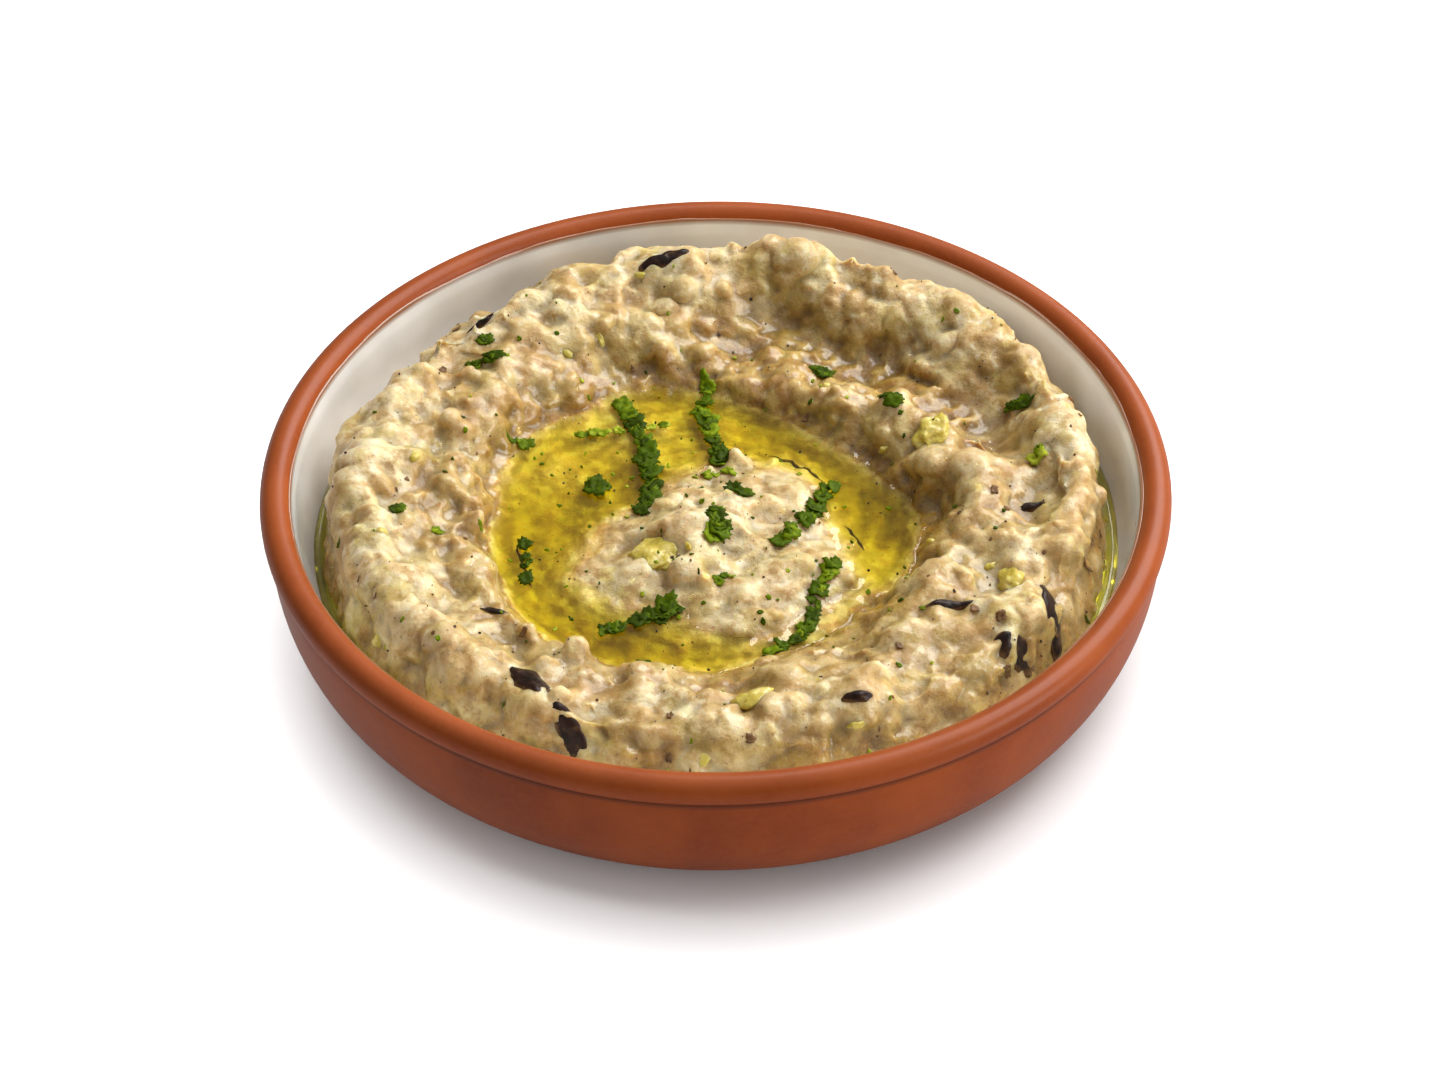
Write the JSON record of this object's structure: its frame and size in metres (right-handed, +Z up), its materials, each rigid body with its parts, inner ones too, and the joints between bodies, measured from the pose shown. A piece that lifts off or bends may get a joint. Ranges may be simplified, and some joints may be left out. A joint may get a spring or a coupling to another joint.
{
  "type": "bowl of baba ganoush",
  "caption": "Shallow round earthenware dish with a rolled lip, filled with chunky aubergine dip swirled round a pool of olive oil with a low island in it.",
  "frame": {"origin": "centre of the dish's base, on the surface it stands on", "axes": "+Z up out of the dish; -Y is the front, where the island meets the piled ring; the back of the ring, at +Y, is the highest"},
  "size_m": [0.16, 0.16, 0.0388],
  "materials": {
    "earthenware": "satin",
    "cream_glaze": "gloss",
    "aubergine_puree": "satin",
    "olive_oil": "gloss",
    "charred_skin": "gloss",
    "soft_aubergine": "gloss",
    "parsley": "satin",
    "ground_pepper": "matte"
  },
  "bodies": {
    "root": {"dish": "earthenware", "dip": "aubergine_puree", "olive_oil": "olive_oil", "charred_skin_1": "charred_skin", "charred_skin_2": "charred_skin", "charred_skin_3": "charred_skin", "charred_skin_4": "charred_skin", "charred_skin_5": "charred_skin", "charred_skin_6": "charred_skin", "charred_skin_7": "charred_skin", "charred_skin_8": "charred_skin", "charred_skin_9": "charred_skin", "charred_skin_10": "charred_skin", "aubergine_chunk_1": "soft_aubergine", "aubergine_chunk_2": "soft_aubergine", "aubergine_chunk_3": "soft_aubergine", "aubergine_chunk_4": "soft_aubergine"}
  },
  "joints": []
}
